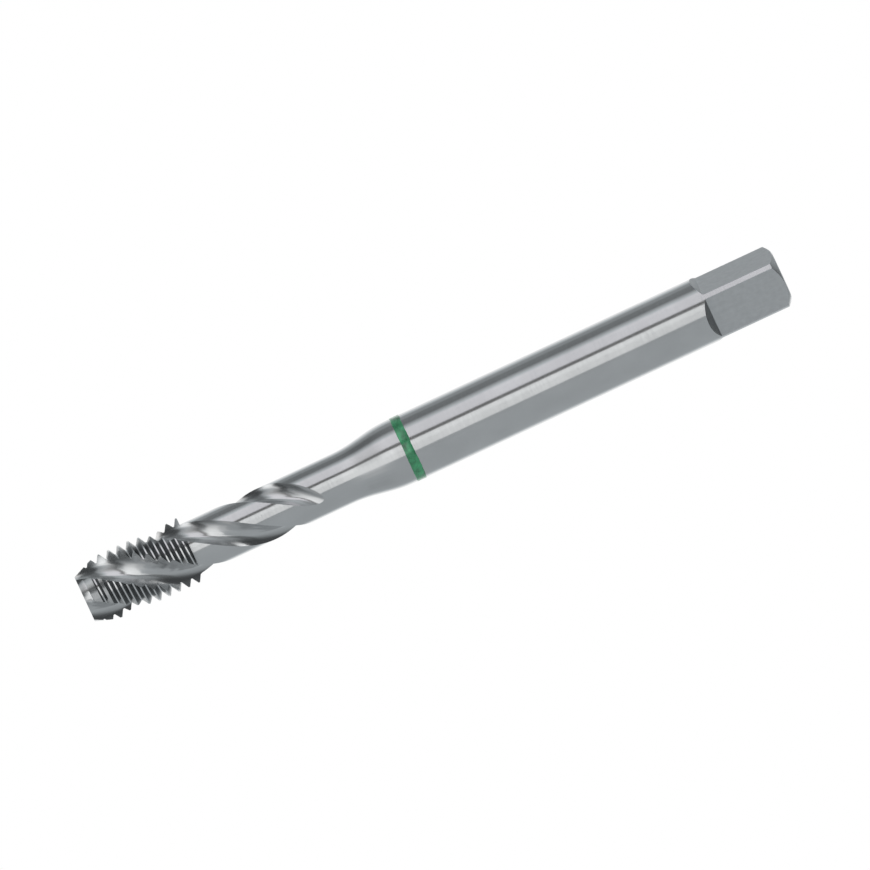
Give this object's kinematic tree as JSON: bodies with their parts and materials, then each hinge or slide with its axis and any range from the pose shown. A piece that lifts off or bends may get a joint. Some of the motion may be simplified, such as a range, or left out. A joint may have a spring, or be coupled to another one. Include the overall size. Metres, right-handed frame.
{
  "type": "spiral flute thread tap",
  "caption": "Machine tap for cutting a metric thread, with helical flutes, a slimmer neck, a round shank with a green ring and a driving square.",
  "frame": {"origin": "centre of the flat end face of the driving square", "axes": "+Z along the tap's axis towards its cutting tip; +X and +Y out of two neighbouring flats of the square"},
  "size_m": [0.0082, 0.0082, 0.09],
  "materials": {
    "ground_steel": "bright high-speed steel, fine cylindrical grinding on the shank, matt flats, polished flutes",
    "green_lacquer": "thin green lacquer, satin gloss, slightly uneven at its edges"
  },
  "bodies": {
    "root": {"tap": "ground_steel", "colour_ring": "green_lacquer"}
  },
  "joints": []
}
